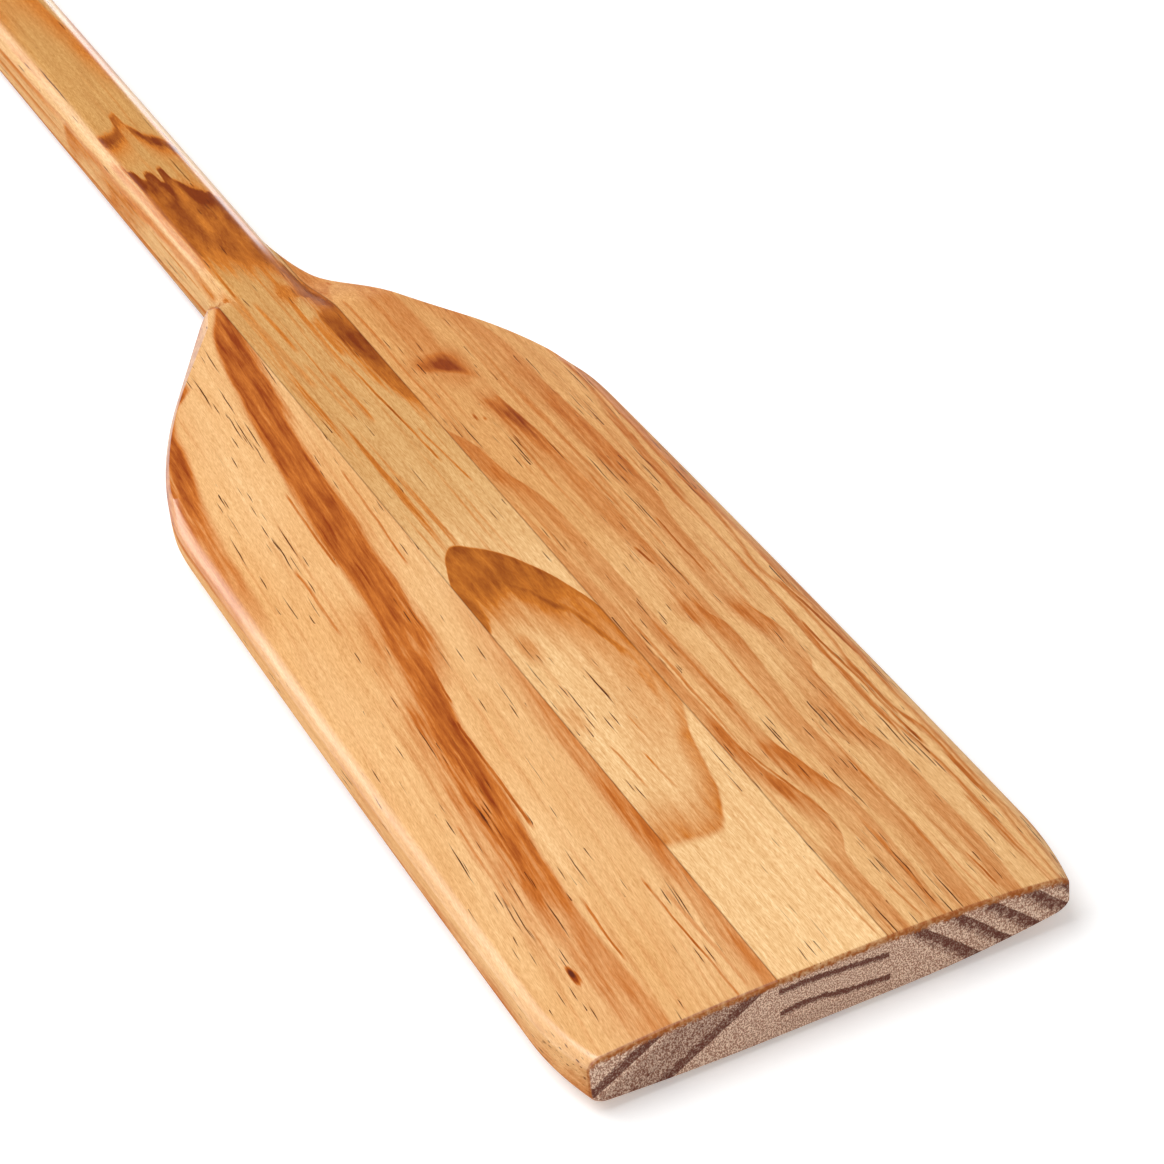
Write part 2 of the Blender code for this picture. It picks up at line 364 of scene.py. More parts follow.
def wing(name, side):
    root = crossing(side, OUTER_FACE + FEATHER_WIDTH, SHAFT_MIDDLE, LONG_EDGE_LENGTH)
    return loft(name, [outer_ring(side, y, edge_reach(side, y)) for y in stations(0, root)])


def cheek(name, side):
    least = OUTER_FACE + FEATHER_WIDTH
    start = crossing(side, least, GRIP_START, GRIP_WIDEST)
    end = crossing(side, least, CENTRE_LENGTH, GRIP_WIDEST)
    return loft(name, [outer_ring(side, y, GRIP_ROUNDOVER) for y in stations(start, end)])


core_strip = loft("core_strip", [core_ring(y) for y in stations(0, CENTRE_LENGTH)])
left_wing = wing("left_wing", -1)
right_wing = wing("right_wing", 1)
left_cheek = cheek("left_cheek", -1)
right_cheek = cheek("right_cheek", 1)
laminations = {
    "shaft_core": (core_strip, "core"),
    "blade_wing_left": (left_wing, "wing_left"),
    "blade_wing_right": (right_wing, "wing_right"),
    "grip_cheek_left": (left_cheek, "cheek_left"),
    "grip_cheek_right": (right_cheek, "cheek_right"),
}
for node, (piece, slot) in laminations.items():
    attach(piece, "root")
    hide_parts(node)
    print(piece.name, len(piece.data.polygons), "faces")

# %% [markdown]
# ## Words for the shader nodes
#
# Every wood below is a tree of nodes, and a tree is easier to read as sums. So a Value stands
# for what a socket gives, and values are added and multiplied as numbers are. place_node()
# places a node with its inputs and settings, and add() also gives what comes out of it. smooth()
# is a soft step, and follow() is a curve drawn through a few places along the paddle: the way to
# say where a growth ring runs.

# %% Values and nodes
class Value:
    """What a socket gives, for sums that are written as sums."""

    def __init__(self, socket):
        self.socket = socket
        self.tree = socket.id_data

    def __add__(self, other):
        return calc("ADD", self, other)

    def __sub__(self, other):
        return calc("SUBTRACT", self, other)

    def __mul__(self, other):
        return calc("MULTIPLY", self, other)

    def __neg__(self):
        return calc("MULTIPLY", self, -1)

    def __abs__(self):
        return calc("ABSOLUTE", self)


def fill(socket, value):
    if isinstance(value, Value):
        value.tree.links.new(value.socket, socket)
    elif value is not None:
        socket.default_value = value


def place_node(tree, kind, *values, **settings):
    added = tree.nodes.new("ShaderNode" + kind)
    for name, value in settings.items():
        setattr(added, name, value)
    for socket, value in zip(added.inputs, values):
        fill(socket, value)
    return added


def add(tree, kind, *values, output=0, **settings):
    return Value(place_node(tree, kind, *values, **settings).outputs[output])


def calc(operation, first, *others, **settings):
    return add(first.tree, "Math", first, *others, operation=operation, **settings)


def largest(values):
    found = values[0]
    for value in values[1:]:
        found = calc("MAXIMUM", found, value)
    return found


def smooth(value, start, end, low=0, high=1):
    values = (value, start, end, low, high)
    return add(value.tree, "MapRange", *values, interpolation_type="SMOOTHSTEP")


def remap(value, start, end, low, high):
    return add(value.tree, "MapRange", value, start, end, low, high)


def spread(share, low, high):
    """From a share between 0 and 1 to a value between low and high."""
    return remap(share, 0, 1, low, high)


def between(value, low, high, soft):
    """1 between two values, and 0 a soft step outside them."""
    return smooth(value, low - soft, low + soft) * smooth(value, high - soft, high + soft, 1, 0)


def stretched(place, factors):
    return add(place.tree, "VectorMath", place, factors, operation="MULTIPLY")


MIX_INPUTS = (0, 6, 7)
MIX_OUTPUT = 2


def tint(tree, share, first, second, blend="MIX"):
    """A mix of two colours. The node's sockets are numbered: it has a set for each data type."""
    mixed = place_node(tree, "Mix", data_type="RGBA", blend_type=blend)
    for place, value in zip(MIX_INPUTS, (share, first, second)):
        fill(mixed.inputs[place], value)
    return Value(mixed.outputs[MIX_OUTPUT])


def follow(value, points, start=None, end=None):
    """A smooth curve through (place, height) points, for places between start and end."""
    start = points[0][0] if start is None else start
    end = points[-1][0] if end is None else end
    heights = [height for _, height in points]
    low, high = min(heights), max(heights) + 0.001
    curve = place_node(value.tree, "FloatCurve")
    fill(curve.inputs["Value"], remap(value, start, end, 0, 1))
    line = curve.mapping.curves[0]
    shares = [((place - start) / (end - start), (height - low) / (high - low))
              for place, height in points]
    line.points[0].location = shares[0]
    line.points[1].location = shares[-1]
    for share in shares[1:-1]:
        line.points.new(*share)
    for point in line.points:
        point.handle_type = "AUTO_CLAMPED"
    curve.mapping.update()
    return spread(Value(curve.outputs[0]), low, high)


# %% Groups and colours
FLOAT = "NodeSocketFloat"
VECTOR = "NodeSocketVector"


def new_group(name, inputs, outputs):
    """An empty node group: its tree, its inputs as values and its outputs as sockets."""
    tree = bpy.data.node_groups.new(name, "ShaderNodeTree")
    for socket, value in inputs.items():
        kind = VECTOR if value is None else FLOAT
        made = tree.interface.new_socket(name=socket, in_out="INPUT", socket_type=kind)
        if value is not None:
            made.default_value = value
    for socket in outputs:
        kind = VECTOR if socket == "Grain" else FLOAT
        tree.interface.new_socket(name=socket, in_out="OUTPUT", socket_type=kind)
    print("group", name, "gives", ", ".join(outputs))
    given = tree.nodes.new("NodeGroupInput").outputs
    return (tree, {socket.name: Value(socket) for socket in given},
            tree.nodes.new("NodeGroupOutput").inputs)


def use_group(tree, group, **values):
    """A group's values in a tree. An input's name has its spaces as underscores here."""
    placed_group = place_node(tree, "Group", node_tree=group)
    for name, value in values.items():
        fill(placed_group.inputs[name.replace("_", " ").title()], value)
    return {socket.name: Value(socket) for socket in placed_group.outputs}


def linear(red, green, blue):
    """A colour as a screen shows it, 0 to 255, in the linear numbers that a shader wants."""
    shares = [value / 255 for value in (red, green, blue)]
    return (*[s / 12.92 if s <= 0.04045 else ((s + 0.055) / 1.055) ** 2.4 for s in shares], 1)


print("white paper in linear numbers:", [round(v, 3) for v in linear(240, 240, 240)[:3]])

# %% [markdown]
# ## A place in the board
#
# Wood is a solid pattern that the saw cuts through. So the pattern is looked up by the place in
# the board, in millimetres, and never by a picture laid on the surface: what shows on the face
# then turns over the edge and comes out on the end grain. In each lamination the growth rings
# lie at their own tilt to the face and the fibres at their own slope to the paddle's length.

# %% Group: place in the board
MM = 1000
FACE_MM = 9.5
WAVER_MM = 6
RIPPLE_SHARE = 0.7
WAVER_PER_MM = (0.012, 0.011, 0.03)
RIPPLES_PER_MM = (0.12, 0.045, 0.12)
place_tree, given, out = new_group(
    "place_in_board", {"Slope": 0, "Tilt": 0, "Wander": 1},
    ["Across", "Along", "Height", "Ring Place", "Grain"])
from_tip = (0, (OVERALL_LENGTH / 2 - SKEW_REACH) * MM, -SHAFT_THICKNESS / 2 * MM)
object_place = add(place_tree, "TexCoord", output="Object")
spot = add(place_tree, "VectorMath", object_place, (MM,) * 3, from_tip, operation="MULTIPLY_ADD")
across, along, height = map(Value, place_node(place_tree, "SeparateXYZ", spot).outputs)


def centred_noise(place, factors, detail):
    return add(place.tree, "TexNoise", stretched(place, factors), None, 1, detail) - 0.5


waver = centred_noise(spot, WAVER_PER_MM, 2)
waver = centred_noise(spot, RIPPLES_PER_MM, 3) * RIPPLE_SHARE + waver
waver = waver * (given["Wander"] * WAVER_MM)
grain_across = across - along * given["Slope"] + waver
fill(out["Ring Place"], (height - FACE_MM) * given["Tilt"] + across + waver)
fill(out["Grain"], add(place_tree, "CombineXYZ", grain_across, along, height))
fill(out["Across"], across)
fill(out["Along"], along)
fill(out["Height"], height)

# %% [markdown]
# ## Growth bands
#
# In one year a pine first lays down pale, soft wood and then brown, hard wood, and stops. So a
# brown band has a clear side, where the next year's pale wood starts, and a side that fades.
# The group turns a distance from the clear side into that profile, frayed by the fibres.

# %% Group: one growth band
band_tree, given, out = new_group(
    "growth_band", {"Inward": 0, "Crispness": 1.2, "Fade": 6, "Strength": 1, "Plateau": 0.3,
                    "Line": 0.5, "Fray": 2.2, "Streak": 0.5}, ["Mask"])
rise = smooth(given["Inward"], 0, given["Crispness"])
thin = smooth(given["Inward"], 0.3, 1.7, 1, 0) * given["Line"]
frayed = (given["Streak"] - 0.5) * given["Fray"] + given["Inward"]
body = smooth(frayed, given["Fade"] * given["Plateau"], given["Fade"], 1, 0)
body = body * remap(given["Streak"], 0.2, 0.8, 1.08, 0.76)
fill(out["Mask"], rise * largest([thin, body]) * given["Strength"])

# %% [markdown]
# The sides that no picture shows need rings too: the underside, the far shaft, the grip. There
# the rings simply follow one another at their spacing, each darkening slowly and ending at once.

# %% Group: rings one after another
rings_tree, given, out = new_group(
    "growth_rings", {"Place": 0, "Spacing": 6, "Strength": 0.6}, ["Mask"])
season = calc("FRACT", calc("DIVIDE", given["Place"], given["Spacing"]))
late = smooth(season, 0.35, 0.88) * smooth(season, 0.92, 1, 1, 0)
fill(out["Mask"], late * given["Strength"])

# %% [markdown]
# ## Fibres, flecks and resin canals
#
# Close up, planed pine is full of fine lengthwise streaks, a faint fleck, soft mottling, and
# short dark dashes where the plane opened a resin canal. The streaks are noise drawn out along
# the grain. The dashes are the insides of small drawn-out cells, and most of them are left out,
# so that they come in loose swarms.

# %% Group: fibres
fibre_tree, given, out = new_group(
    "fibres", {"Grain": None, "Seed": 0}, ["Streak", "Line", "Fleck", "Cloud", "Mottle"])


def drawn_noise(place, seed, stretch, detail):
    """Noise with a given number of grains per millimetre in each direction."""
    moved = stretched(place, stretch)
    return add(place.tree, "TexNoise", moved, seed, 1, detail, noise_dimensions="4D")


grain, seed = given["Grain"], given["Seed"]
for name, per_mm, detail, low, high, least in (
        ("Streak", (0.9, 0.035, 0.9), 5, 0.3, 0.7, 0),
        ("Fleck", (4.5, 0.5, 4.5), 3, 0.3, 0.7, 0),
        ("Cloud", (0.05, 0.012, 0.05), 2, 0.35, 0.65, 0),
        ("Mottle", (0.30, 0.07, 0.30), 4, 0.33, 0.67, -1)):
    fill(out[name], remap(drawn_noise(grain, seed, per_mm, detail), low, high, least, 1))
fill(out["Line"], smooth(drawn_noise(grain, seed, (0.5, 0.010, 0.5), 4), 0.52, 0.68))

# %% Group: resin canals
resin_tree, given, out = new_group(
    "resin_canals", {"Grain": None, "Seed": 0, "Amount": 0.5}, ["Mask"])
grain, seed = given["Grain"], given["Seed"]
swarm = smooth(drawn_noise(grain, seed, (0.07, 0.024, 0.07), 1), 0.4, 0.72) * given["Amount"]


def dashes(place, seed, stretch, swarm):
    """Drawn-out cells' insides, for the share of the cells that the swarm keeps."""
    cells = place_node(place.tree, "TexVoronoi", stretched(place, stretch), seed, 1,
                       voronoi_dimensions="4D").outputs
    chance = add(place.tree, "SeparateColor", Value(cells["Color"]))
    inside = smooth(Value(cells["Distance"]), 0.18, 0.38, 1, 0)
    return calc("LESS_THAN", chance, swarm) * inside


fill(out["Mask"], largest([dashes(grain, seed, (1.5, 0.034, 1.5), swarm),
                           dashes(grain, seed, (1.9, 0.085, 1.9), swarm)]))

# %% [markdown]
# ## End grain
#
# Where the saw cuts across the fibres it opens them like a bundle of straws. The cut soaks up
# varnish and turns a dull pinkish brown, with bright specks between the pores. The group finds
# such a face by the direction that it looks in, and gives the specks. In the same way it finds
# the worn arris beside it, the rounded edges and the upright sides.

# %% Group: end grain
end_tree, given, out = new_group(
    "end_grain", {"Grain": None}, ["Mask", "Specks", "Arris", "Rounded", "Side"])
facing = place_node(end_tree, "SeparateXYZ", add(end_tree, "TexCoord", output="Normal"))
side_on, end_on, flat = (abs(Value(axis)) for axis in facing.outputs)
sawn = smooth(end_on, 0.72, 0.9)
turned = smooth(flat, 0.985, 0.93) * smooth(flat, 0.12, 0.4)
pores = drawn_noise(given["Grain"], 0, (2.8, 0.2, 2), 3)
fill(out["Mask"], sawn)
fill(out["Rounded"], calc("SUBTRACT", turned, sawn, use_clamp=True))
fill(out["Arris"], smooth(end_on, 0.15, 0.6))
fill(out["Side"], smooth(side_on, 0.1, 0.5))
fill(out["Specks"], smooth(pores, 0.42, 0.6))

# %% [markdown]
# ## From the groups to a varnished board
#
# finish_board() makes one lamination's material: the pale wood with its fibres, the brown bands
# over it (amber where they are thin, brown where they are full), the resin canals, a hair of
# dark glue at the joint, the end grain, and a satin varnish that lets the grain be felt a
# little. The varnish is a coat, thin on the flat faces and full where an edge is rounded.

# %% Colours and varnish
END_PALE = linear(240, 208, 182)
END_DULL = linear(158, 112, 90)
END_RING = linear(100, 54, 42)
RESIN = linear(78, 28, 4)
KNOT = linear(86, 34, 14)
ARRIS = linear(158, 84, 34)
AMBER_SHARES = (0, 0.62)
BROWN_SHARES = (0.6, 1.05)
SHADE_DEPTHS = (0.6, 1, 1.5)
# Painted shade: the upright sides are made darker towards the underside, between these heights.
PAINTED_SHADE_HEIGHTS_MM = (-4, -9)
PAINTED_SHADE_GREY = 0.3
GLUE_LINE_MM = 15.35
GLUE_HAIR_MM = (0.08, 0.34)
GLUE_SHARE = 0.42
RAGGED_MM = 1.6
BELOW_EDGE_MM = (1.8, 3.2)
BEHIND_ARRIS = 0.003
TIP_TOP = [(x, top_height(x / MM, BEHIND_ARRIS) * MM)
           for x in (-70, -64, -56, -40, 0, 40, 56, 64, 70)]
ROUGHNESS = (0.34, 0.44)
SAWN_ROUGHNESS = 0.25
FLAT_COAT = 0.12
COAT_ROUGHNESS = 0.3
COAT_IOR = 1.7
RELIEF_DEPTH = 0.00006
RELIEF_STRENGTH = 0.5
print("upper edge of the tip, mm:", [(x, round(z, 1)) for x, z in TIP_TOP])

# %% A varnished board
class Board:
    """A lamination's wood while it is put together: its material, its tree and its place."""

    def __init__(self, name, seed, slope=0, tilt=0, wander=0.35):
        self.material = bpy.data.materials.new(name)
        self.material.use_nodes = True
        self.tree = self.material.node_tree
        self.seed = seed
        self.tilt = tilt
        self.place = use_group(self.tree, place_tree, slope=slope, tilt=tilt, wander=wander)
        self.fibres = use_group(self.tree, fibre_tree, grain=self.place["Grain"], seed=seed)
        self.streak = self.fibres["Streak"]


def wood_colour(board, end, colours, share, tan_share, resin, marks, contrast):
    """The planed faces: pale, tan, amber and brown wood, flecks, resin, knot, glue, arris, and a
    painted shade low on the upright sides.
    """
    tree, fibres = board.tree, board.fibres
    pale, tan, amber, brown = (linear(*colour) for colour in colours)
    wood = tint(tree, fibres["Cloud"] if tan_share is None else tan_share, pale, tan)
    wood = tint(tree, remap(share, *AMBER_SHARES, 0, 1), wood, amber)
    wood = tint(tree, remap(share, *BROWN_SHARES, 0, 1), wood, brown)
    grey = spread(board.streak, 1 - 0.15 * contrast, 1 + 0.11 * contrast)
    grey = grey * spread(fibres["Fleck"], 1 - 0.24 * contrast, 1 + 0.2 * contrast)
    # Painted shade: the upright sides grow darker towards the underside, where the round-over
    # shades them.
    low = smooth(board.place["Height"], *PAINTED_SHADE_HEIGHTS_MM) * end["Side"]
    grey = grey * spread(low, 1, PAINTED_SHADE_GREY)
    shades = [calc("POWER", grey, depth) for depth in SHADE_DEPTHS]
    wood = tint(tree, 1, wood, add(tree, "CombineColor", *shades), "MULTIPLY")
    canals = use_group(tree, resin_tree, grain=board.place["Grain"], seed=board.seed, amount=resin)
    wood = tint(tree, canals["Mask"], wood, RESIN)
    if marks is not None:
        wood = tint(tree, marks, wood, KNOT)
    off_joint = abs(abs(board.place["Across"]) - GLUE_LINE_MM)
    wood = tint(tree, smooth(off_joint, *GLUE_HAIR_MM, GLUE_SHARE, 0), wood, RESIN)
    worn = end["Arris"] * remap(board.streak, 0.2, 0.8, 1, 0.5)
    return tint(tree, worn, wood, ARRIS)


def sawn_colour(board, end, rings):
    """The sawn end: dull wood, bright specks and dark rings."""
    sawn = tint(board.tree, end["Specks"], END_DULL, END_PALE)
    rings = rings * spread(end["Specks"], 1, 0.78)
    return tint(board.tree, smooth(rings, 0.05, 1), sawn, END_RING)


def finish_board(board, colours, share, tan_share=None, lines=0.3, resin=0.5,
                 end_share=None, marks=None, contrast=1, coated=1):
    """Fills in the board's shader, with colours from pale over tan and amber to brown."""
    tree, fibres = board.tree, board.fibres
    end = use_group(tree, end_tree, grain=board.place["Grain"])
    share = largest([share, fibres["Line"] * lines]) * (fibres["Mottle"] * 0.2 + 0.98)
    wood = wood_colour(board, end, colours, share, tan_share, resin, marks, contrast)
    sawn = sawn_colour(board, end, share if end_share is None else end_share)
    below = follow(board.place["Across"], TIP_TOP) - board.place["Height"]
    rough_cut = end["Mask"] * smooth(board.streak * RAGGED_MM + below, *BELOW_EDGE_MM)
    shader = tree.nodes["Principled BSDF"].inputs
    fill(shader["Base Color"], tint(tree, rough_cut, wood, sawn))
    fill(shader["Roughness"], end["Mask"] * SAWN_ROUGHNESS + spread(board.streak, *ROUGHNESS))
    fill(shader["Specular IOR Level"], 0)
    fill(shader["Coat Weight"], spread(end["Rounded"] * coated, FLAT_COAT, 1))
    fill(shader["Coat Roughness"], COAT_ROUGHNESS)
    fill(shader["Coat IOR"], COAT_IOR)
    bump = place_node(tree, "Bump")
    fill(bump.inputs["Distance"], RELIEF_DEPTH)
    fill(bump.inputs["Strength"], RELIEF_STRENGTH)
    relief = fibres["Fleck"] * 0.4 + board.streak
    fill(bump.inputs["Height"], end["Specks"] * (end["Mask"] * 2) + relief)
    fill(shader["Normal"], Value(bump.outputs[0]))
    print(board.material.name, "has", len(tree.nodes), "nodes")
    return board.material


# %% [markdown]
# A band is told as a route, (distance from the tip, distance across) in millimetres on the upper
# face, and from there it goes down into the board at the rings' tilt. A drawn line is a thin
# dark streak of the same kind that starts and ends somewhere.

# %% Bands and lines along a board
BOARD_START = 0
BOARD_END = 400


def ring_place(across_mm, along_mm, tilt):
    """Where a point of the upper face lies among the rings of a board, in millimetres."""
    face = top_height(across_mm / MM, max(along_mm, TIP_ARRIS * MM) / MM) * MM
    return across_mm + tilt * (face - FACE_MM)


def beyond(board, route, start=None, end=None):
    """How far a point lies on the positive side of a route, in millimetres."""
    points = [(place, ring_place(across_mm, place, board.tilt)) for place, across_mm in route]
    return board.place["Ring Place"] - follow(board.place["Along"], points, start, end)


def band(board, edge, fade, strength, sharp_side=1, **settings):
    """A brown band. Its edge is its clear side, and strength how dark it is, as (along, share)
    points. It fades away from the clear side."""
    inward = beyond(board, edge, BOARD_START, BOARD_END) * -sharp_side
    share = follow(board.place["Along"], strength, BOARD_START, BOARD_END)
    return use_group(board.tree, band_tree, inward=inward, fade=fade, strength=share,
                     streak=board.streak, **settings)["Mask"]


def end_band(board, edge, fade, plateau=0.25, share=1):
    """A ring on the sawn tip, the same all the way along."""
    return band(board, [(BOARD_START, edge), (BOARD_END, edge)], fade,
                [(BOARD_START, share), (BOARD_END, share)],
                crispness=0.8, line=1, plateau=plateau)


def plain_rings(board, place, spacing, strength):
    """Rings one after another, for the sides that no picture shows."""
    return use_group(board.tree, rings_tree, place=place, spacing=spacing,
                     strength=strength)["Mask"]


def drawn_line(board, route, width=0.5, share=0.8):
    start, end = route[0][0], route[-1][0]
    line = smooth(abs(beyond(board, route)), 0.3 * width, width, share, 0)
    line = line * between(board.place["Along"], start, end, 3)
    return line * remap(board.streak, 0.2, 0.7, 0.5, 1)


def lens(board, middle, size):
    """Distance from the middle of a lens on a board's upper face, 1 at its rim."""
    parts = []
    for name, centre, half in zip(("Along", "Across"), middle, size):
        part = calc("DIVIDE", board.place[name] - centre, half)
        parts.append(part * part)
    return calc("SQRT", parts[0] + parts[1])


def stain(board, middle, size, share, frayed, start, end):
    """A brown spot, frayed, that fades between two distances from its middle."""
    return smooth(frayed + lens(board, middle, size), start, end, share, 0)


# %% [markdown]
# ## The left wing
#
# This board has one broad band that crosses it at a slant, from beside the core at the neck to
# the tip's left third. Its rings lean, so on the sawn tip they climb to the right. A second band
# leaves through the curved shoulder, and a third lies along the glue line near the tip.

# %% Wood of the left wing
board = Board("left_wing_pine", seed=3.1, slope=0.07, tilt=-1.6)
left_bands = [
    band(board,
         [(150, -43.5), (160, -42.5), (180, -40.5), (200, -39.5), (220, -38.5), (240, -37),
          (260, -35), (280, -32.5), (300, -30), (320, -26.5), (340, -22), (360, -17)],
         14, [(140, 0), (160, 0.55), (185, 0.85), (240, 0.88), (320, 0.9), (360, 0.85)],
         crispness=2.4, sharp_side=-1, line=0.5, plateau=0.62),
    band(board,
         [(0, -43), (20, -43.5), (40, -44), (60, -43), (80, -41.5), (100, -39.5), (120, -38),
          (140, -35.5), (160, -32.5), (180, -31)],
         18, [(0, 0.42), (40, 0.52), (62, 0.68), (90, 0.86), (130, 0.84), (165, 0.7), (195, 0)],
         crispness=1.8, line=0.9, plateau=0.2, fray=4.5),
    band(board,
         [(200, -61.5), (220, -59.5), (240, -58), (260, -55.5), (280, -51.5), (295, -49),
          (310, -47)],
         10, [(190, 0), (215, 0.42), (250, 0.66), (285, 0.85), (310, 0.75)], crispness=2.2),
    band(board, [(0, -14), (130, -13), (200, -12)],
         10, [(0, 0.5), (55, 0.54), (70, 0.68), (90, 0.58), (150, 0.34), (190, 0)]),
]
left_bands += [drawn_line(board, *line) for line in (
    ([(0, -26), (50, -26.5)], 0.45), ([(2, -22), (44, -23.6)], 0.9, 0.4),
    ([(28, -43.6), (52, -42.4)], 0.45), ([(84, -40.4), (132, -38.6)], 0.6, 0.95),
    ([(138, -36.6), (156, -34.8)], 0.5, 0.9), ([(198, -21.5), (246, -18.6)],),
    ([(208, -38.4), (246, -36.8)],), ([(182, -49.6), (214, -48.6)], 0.5, 0.7),
    ([(60, -58.2), (96, -56.4)], 0.5, 0.5))]
left_end = largest([end_band(board, *ring) for ring in (
    (-43.5, 8, 0.6), (-16, 9, 0.5), (-16, 30, 0.7, 0.6), (-28, 3, 0.3, 0.8))])
print("bands and lines in the left wing:", len(left_bands))

# %% A pin knot in the left wing
KNOT_ALONG = 30.6
KNOT_ACROSS = -56.4
upper = calc("GREATER_THAN", board.place["Height"], 0)
rim = board.streak * 0.5 + lens(board, (KNOT_ALONG, KNOT_ACROSS), (4.6, 1.15))
heart = lens(board, (KNOT_ALONG + 0.7, KNOT_ACROSS - 0.1), (2, 0.75))
left_bands.append(smooth(rim, 0.8, 1.6, 1, 0) * upper)
knot = smooth(heart, 0.4, 1.2, 0.95, 0) * upper
left_colours = ((234, 186, 130), (225, 170, 110), (196, 111, 42), (144, 60, 8))
left_wing.data.materials.append(
    finish_board(board, left_colours, largest(left_bands), lines=0.2, resin=0.45,
                 end_share=left_end, marks=knot))

# %% [markdown]
# ## The right wing
#
# The rings of this board stand at half a right angle to its face and wave along it, so they
# show as fine brown lines with a dark patch wherever all of them bend. On the tip they fall to
# the right. One small patch of wild grain stands by itself at the shoulder.

# %% Wood of the right wing
board = Board("right_wing_pine", seed=8.4, tilt=1)
right_bands = [band(board, *ring, crispness=0.7, line=1.15) for ring in (
    ([(0, 22), (25, 21.5), (45, 26), (57, 24.3), (68, 21.5), (78, 20.3), (100, 19.5),
      (150, 19.3), (180, 17.6), (230, 16)],
     8, [(0, 0.42), (40, 0.4), (62, 0.62), (78, 0.64), (100, 0.45), (150, 0.4), (230, 0.3)]),
    ([(0, 33), (45, 34.6), (60, 32.3), (70, 30.5), (80, 28.6), (100, 28), (140, 27),
      (180, 26.4), (200, 25.5), (210, 24), (220, 21.5), (235, 20), (245, 17), (250, 15.5),
      (300, 12)],
     9, [(0, 0.3), (46, 0.35), (56, 0.64), (72, 0.66), (84, 0.35), (160, 0.35), (200, 0.5),
         (240, 0.55), (260, 0.4), (350, 0.4)]),
    ([(0, 42), (30, 43), (45, 43), (60, 41.5), (80, 40.5), (120, 42.6), (130, 41.8),
      (140, 39.6), (160, 40.5), (200, 40), (220, 39.5), (240, 38.5), (250, 37.3), (265, 36)],
     9, [(0, 0.35), (60, 0.4), (110, 0.36), (124, 0.6), (136, 0.72), (146, 0.42),
         (200, 0.52), (236, 0.82), (246, 0.96), (256, 0.4), (268, 0)]),
    ([(0, 54), (20, 55), (50, 55), (70, 53), (80, 52), (90, 52), (100, 53.5), (110, 55.5),
      (120, 54.5), (130, 52.5), (145, 51), (160, 52), (180, 53), (200, 55), (215, 54.5),
      (250, 53), (280, 51.5), (310, 49)],
     9, [(0, 0.4), (60, 0.4), (76, 0.6), (90, 0.4), (112, 0.35), (127, 0.62), (142, 0.4),
         (190, 0.42), (208, 0.64), (240, 0.6), (262, 0.45), (350, 0.4)]),
    ([(0, 63), (40, 63), (60, 62.4), (80, 60.5), (100, 60.3), (120, 61), (150, 61),
      (170, 60.5), (200, 61.5), (230, 63), (255, 64), (300, 60)],
     2.4, [(0, 0.4), (80, 0.6), (200, 0.6), (350, 0.45)]),
    ([(0, 67), (60, 67), (70, 66), (80, 64.3), (95, 64), (110, 65), (135, 65.2),
      (145, 63.6), (160, 65), (200, 66.5), (350, 66)],
     1.6, [(0, 0.4), (80, 0.6), (350, 0.5)]),
    ([(0, 70.5), (90, 69), (120, 68.3), (140, 67.6), (200, 69), (350, 69)],
     1.4, [(0, 0.3), (90, 0.55), (350, 0.5)])
)]
right_bands += [
    band(board, [(0, 5), (200, 7), (350, 6)], 7, [(0, 0.6), (350, 0.6)]),
    band(board, [(262, 36), (282, 33.5), (300, 34.5), (350, 36)],
         13, [(262, 0), (276, 0.4), (310, 0.4), (350, 0.4)]),
]
right_bands += [drawn_line(board, *line) for line in (
    ([(2, 26), (16, 25)],), ([(100, 67.6), (140, 64.4)], 0.6, 0.9),
    ([(60, 62.6), (120, 60.6)], 0.5, 0.9), ([(20, 60.6), (36, 60.4)], 0.5, 0.7),
    ([(180, 65), (262, 65)],), ([(2, 48.6), (17, 48)],), ([(45, 25.8), (78, 20.2)], 0.5, 0.9),
    ([(150, 48.2), (180, 48)], 0.45, 0.9), ([(94, 26), (103, 26)], 0.6),
    ([(160, 37), (170, 36)], 0.6, 0.95), ([(186, 61), (222, 62.2)], 0.5, 0.9))]
right_end = largest([end_band(board, *ring) for ring in (
    (24, 9), (34.5, 7.5), (44.5, 7.5), (56.5, 9), (67, 6))])
print("bands and lines in the right wing:", len(right_bands))

# %% Wild grain at the shoulder of the right wing
along, place = board.place["Along"], board.place["Ring Place"]
PATCH_EDGE = [(17, 278), (22, 276.5), (26, 274.5), (30, 272.5), (33, 269.5), (35, 266), (37, 262)]
PATCH_SHARES = [(20, 0.8), (27, 1.1), (31, 1.4), (36, 1.2)]
patch = smooth(along - follow(place, PATCH_EDGE), -2.5, 5) * between(place, 22, 35, 4.5)
patch = patch * smooth(board.streak * 1.2 + along, 276, 291, 1, 0)
right_bands.append(patch * follow(place, PATCH_SHARES))
right_bands += [stain(board, *spot, board.streak * 0.8, 0.3, 2) for spot in (
    ((243.6, 31.4), (1.8, 0.5), 0.6), ((246.4, 27.8), (1.3, 0.6), 0.75),
    ((248.6, 25.6), (1.7, 0.45), 0.85), ((242, 35.4), (5.5, 2.4), 0.62))]
right_tan = follow(along, [(0, 0.2), (150, 0.4), (200, 0.85), (350, 1)])
right_colours = ((231, 184, 127), (214, 155, 93), (192, 110, 44), (138, 58, 8))
right_wing.data.materials.append(
    finish_board(board, right_colours, largest(right_bands), tan_share=right_tan, lines=0.55,
                 resin=1, end_share=right_end, contrast=1.15, coated=0.2))
